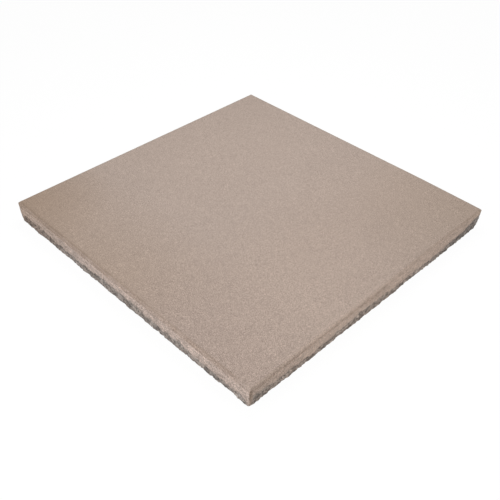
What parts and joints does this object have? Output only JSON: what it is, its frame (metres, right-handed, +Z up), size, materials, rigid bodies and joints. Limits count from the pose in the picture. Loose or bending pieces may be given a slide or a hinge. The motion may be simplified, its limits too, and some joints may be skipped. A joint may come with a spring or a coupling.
{
  "type": "paving slab",
  "caption": "Square pressed concrete paving slab with a chamfered walking face, sides that lean in towards the underside and a broken lower edge, for patios and footpaths.",
  "frame": {"origin": "centre of the underside, the face that lies on the bedding", "axes": "+Z up through the thickness to the walking face, +X and +Y along the two sides of the square"},
  "size_m": [0.6, 0.6, 0.043],
  "materials": {
    "concrete": "matt fine sandy facing mix over a rough grey backing mix"
  },
  "bodies": {
    "root": {"slab": "concrete"}
  },
  "joints": []
}
